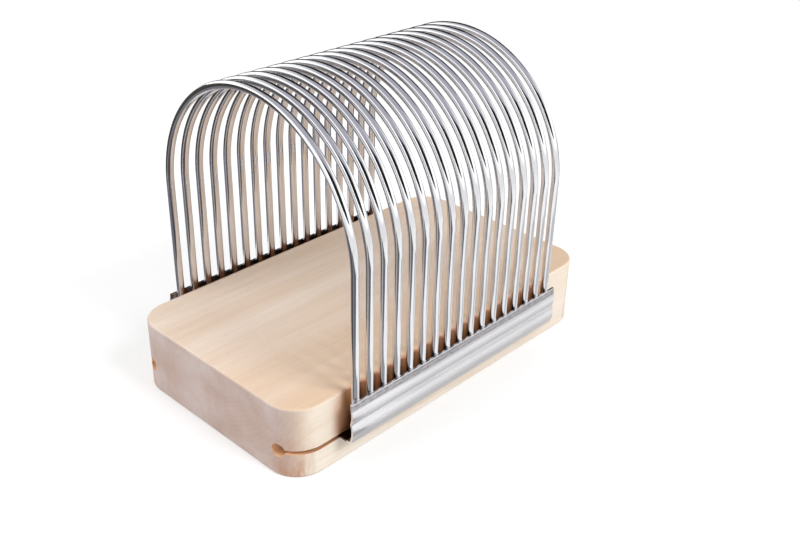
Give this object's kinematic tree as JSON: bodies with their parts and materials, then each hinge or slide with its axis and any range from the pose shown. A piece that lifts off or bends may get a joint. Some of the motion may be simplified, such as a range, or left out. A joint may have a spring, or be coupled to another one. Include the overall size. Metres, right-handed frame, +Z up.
{
  "type": "french fry cutting guide",
  "caption": "Wooden cutting block with a cage of bent wire hoops on two ribbed rails, which slides along grooves in the block's sides and guides a knife into even fries.",
  "frame": {"origin": "under the middle of the board, on the surface that it stands on", "axes": "+Y along the board, from its open groove ends towards their blind ends; +X across the board to the right, seen from the open ends; +Z up"},
  "size_m": [0.1384, 0.214, 0.165],
  "materials": {
    "beech": "sanded and lightly oiled, satin",
    "polished_wire": "mirror-polished stainless steel wire",
    "rail_sheet": "satin stainless steel sheet",
    "runner_steel": "drawn stainless steel rod"
  },
  "bodies": {
    "board": {"board": "beech"},
    "cage": {"left_rail": "rail_sheet", "right_rail": "rail_sheet", "left_runner_rod": "runner_steel", "right_runner_rod": "runner_steel", "hoop_01": "polished_wire", "hoop_02": "polished_wire", "hoop_03": "polished_wire", "hoop_04": "polished_wire", "hoop_05": "polished_wire", "hoop_06": "polished_wire", "hoop_07": "polished_wire", "hoop_08": "polished_wire", "hoop_09": "polished_wire", "hoop_10": "polished_wire", "hoop_11": "polished_wire", "hoop_12": "polished_wire", "hoop_13": "polished_wire", "hoop_14": "polished_wire", "hoop_15": "polished_wire", "hoop_16": "polished_wire", "hoop_17": "polished_wire"}
  },
  "joints": [
    {"name": "cage_slide", "type": "slide", "parent": "board", "child": "cage", "axis": [0, -1, 0], "range_m": [0, 0.1765]}
  ]
}
